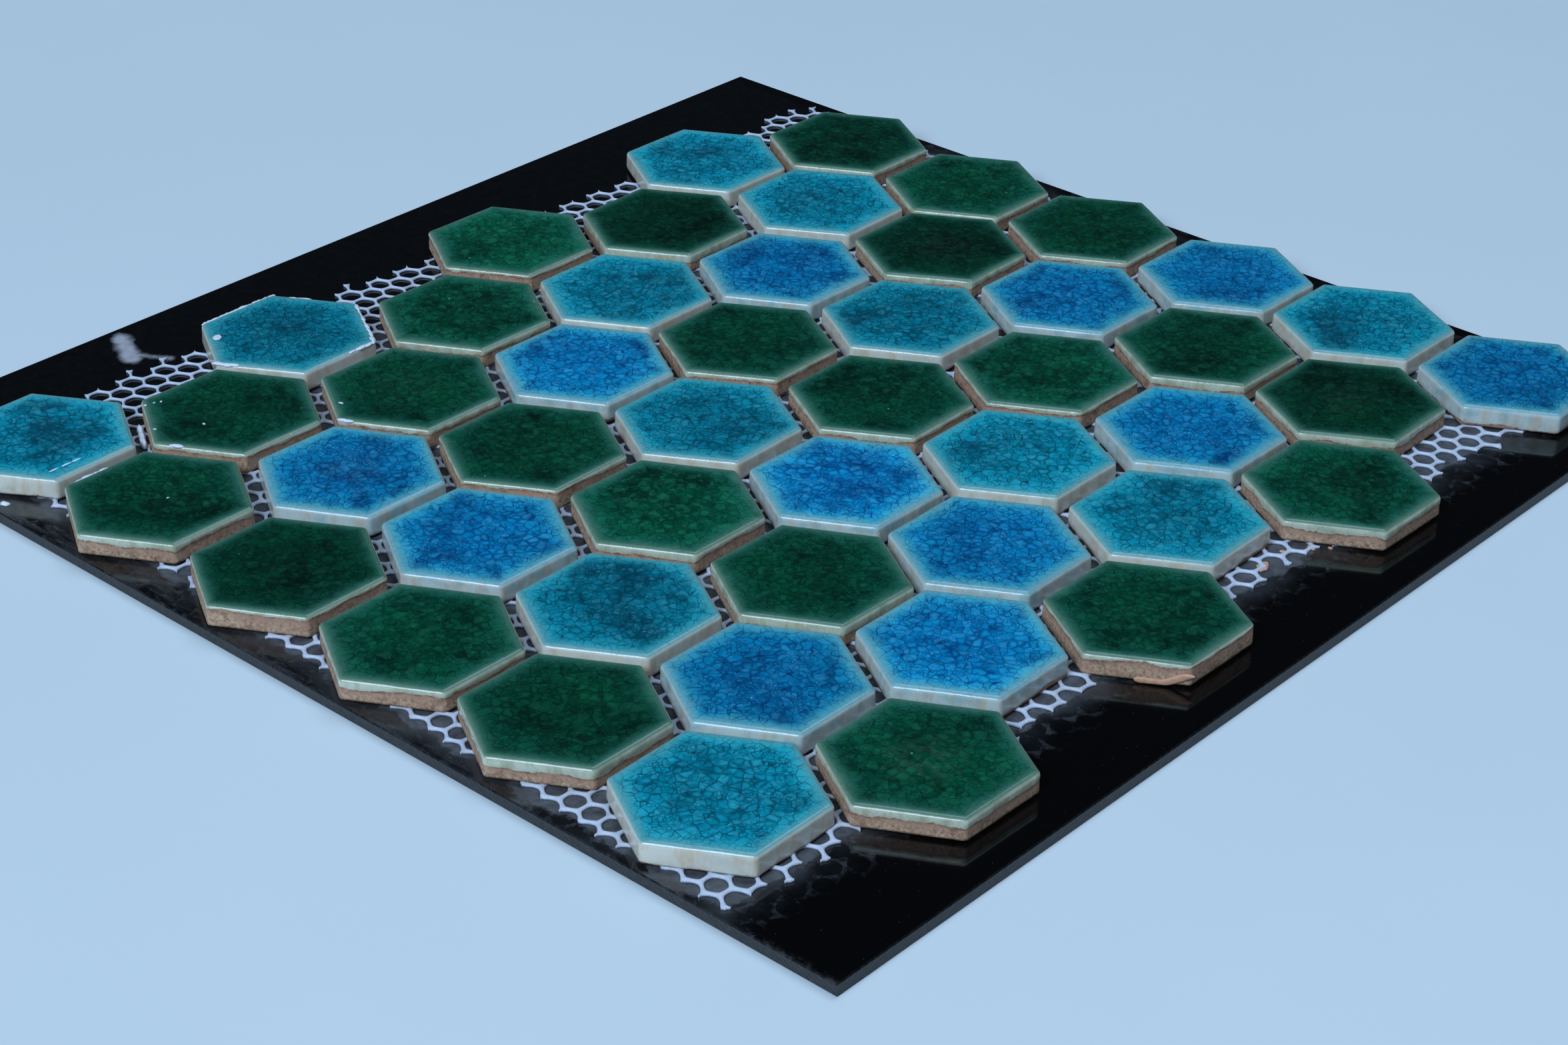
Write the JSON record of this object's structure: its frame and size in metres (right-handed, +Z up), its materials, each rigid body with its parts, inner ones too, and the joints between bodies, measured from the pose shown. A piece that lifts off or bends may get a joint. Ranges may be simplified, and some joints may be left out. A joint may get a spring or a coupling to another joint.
{
  "type": "hexagon mosaic tile sheet",
  "caption": "Square sample board with a net-backed mosaic sheet of small hexagonal crackle-glazed wall tiles in mixed green, teal and blue, with open joints.",
  "frame": {"origin": "middle of the board's underside", "axes": "+Z up, out of the glazed faces; tile rows run along X, and row 1 is at the -Y edge"},
  "size_m": [0.3048, 0.3048, 0.0087],
  "materials": {
    "green_glaze": "gloss bottle-green crackle glaze, milky at the edges, over buff clay",
    "teal_glaze": "gloss teal crackle glaze, milky at the edges, over cream-washed clay",
    "blue_glaze": "gloss sky-blue crackle glaze, milky at the edges, over cream-washed clay",
    "net": "white moulded plastic net, trimmed with a blade",
    "board": "gloss black sheet with grey sawn edges and dried glue haze"
  },
  "bodies": {
    "root": {"backing_board": "board", "blue_tile_r2_c2": "blue_glaze", "blue_tile_r2_c3": "blue_glaze", "blue_tile_r2_c5": "blue_glaze", "blue_tile_r3_c6": "blue_glaze", "blue_tile_r4_c2": "blue_glaze", "blue_tile_r4_c4": "blue_glaze", "blue_tile_r4_c5": "blue_glaze", "blue_tile_r6_c2": "blue_glaze", "blue_tile_r6_c5": "blue_glaze", "blue_tile_r7_c4": "blue_glaze", "blue_tile_r8_c4": "blue_glaze", "blue_tile_r8_c6": "blue_glaze", "green_tile_r1_c2": "green_glaze", "green_tile_r1_c3": "green_glaze", "green_tile_r1_c4": "green_glaze", "green_tile_r1_c5": "green_glaze", "green_tile_r2_c1": "green_glaze", "green_tile_r2_c6": "green_glaze", "green_tile_r3_c2": "green_glaze", "green_tile_r3_c3": "green_glaze", "green_tile_r3_c4": "green_glaze", "green_tile_r3_c5": "green_glaze", "green_tile_r4_c1": "green_glaze", "green_tile_r4_c6": "green_glaze", "green_tile_r5_c1": "green_glaze", "green_tile_r5_c3": "green_glaze", "green_tile_r5_c4": "green_glaze", "green_tile_r6_c1": "green_glaze", "green_tile_r6_c4": "green_glaze", "green_tile_r6_c6": "green_glaze", "green_tile_r7_c3": "green_glaze", "green_tile_r7_c5": "green_glaze", "green_tile_r7_c6": "green_glaze", "green_tile_r8_c1": "green_glaze", "green_tile_r8_c2": "green_glaze", "green_tile_r8_c3": "green_glaze", "net_back_half": "net", "net_front_half": "net", "teal_tile_r1_c1": "teal_glaze", "teal_tile_r1_c6": "teal_glaze", "teal_tile_r2_c4": "teal_glaze", "teal_tile_r3_c1": "teal_glaze", "teal_tile_r4_c3": "teal_glaze", "teal_tile_r5_c2": "teal_glaze", "teal_tile_r5_c5": "teal_glaze", "teal_tile_r5_c6": "teal_glaze", "teal_tile_r6_c3": "teal_glaze", "teal_tile_r7_c1": "teal_glaze", "teal_tile_r7_c2": "teal_glaze", "teal_tile_r8_c5": "teal_glaze"}
  },
  "joints": []
}
